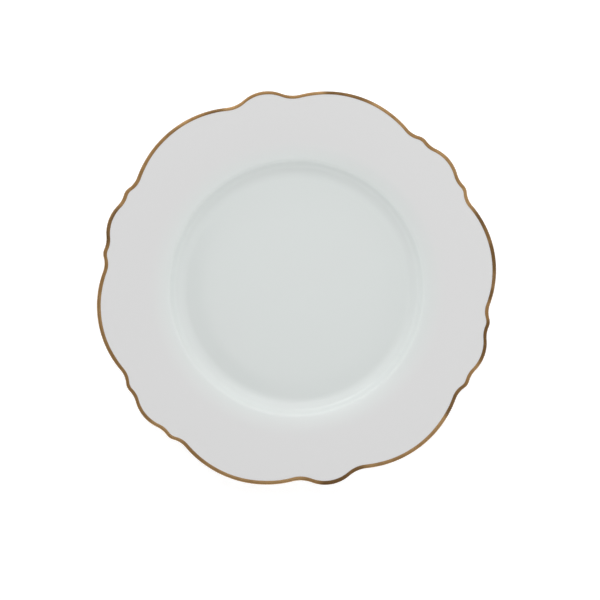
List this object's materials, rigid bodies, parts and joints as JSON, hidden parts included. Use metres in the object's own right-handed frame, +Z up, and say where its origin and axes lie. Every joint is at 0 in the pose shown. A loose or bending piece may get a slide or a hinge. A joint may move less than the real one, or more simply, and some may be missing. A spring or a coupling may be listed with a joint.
{
  "type": "china dinner plate",
  "caption": "White glazed porcelain dinner plate with a round well, a wide plain rim, a softly scalloped and toothed edge, and a fired gold line round the lip.",
  "frame": {"origin": "middle of the ring the plate stands on, at the height of the table", "axes": "+Z up out of the well, +X towards the middle of one of the two broad lobes that face each other, +Y towards one of the two plain tongues"},
  "size_m": [0.2748, 0.2724, 0.0206],
  "materials": {
    "biscuit": "matte",
    "clear_glaze": "gloss",
    "fired_gold": "polished"
  },
  "bodies": {
    "root": {"porcelain_body": "biscuit", "face_glaze": "clear_glaze", "underside_glaze": "clear_glaze", "foot_well_glaze": "clear_glaze", "gold_edge_line": "fired_gold"}
  },
  "joints": []
}
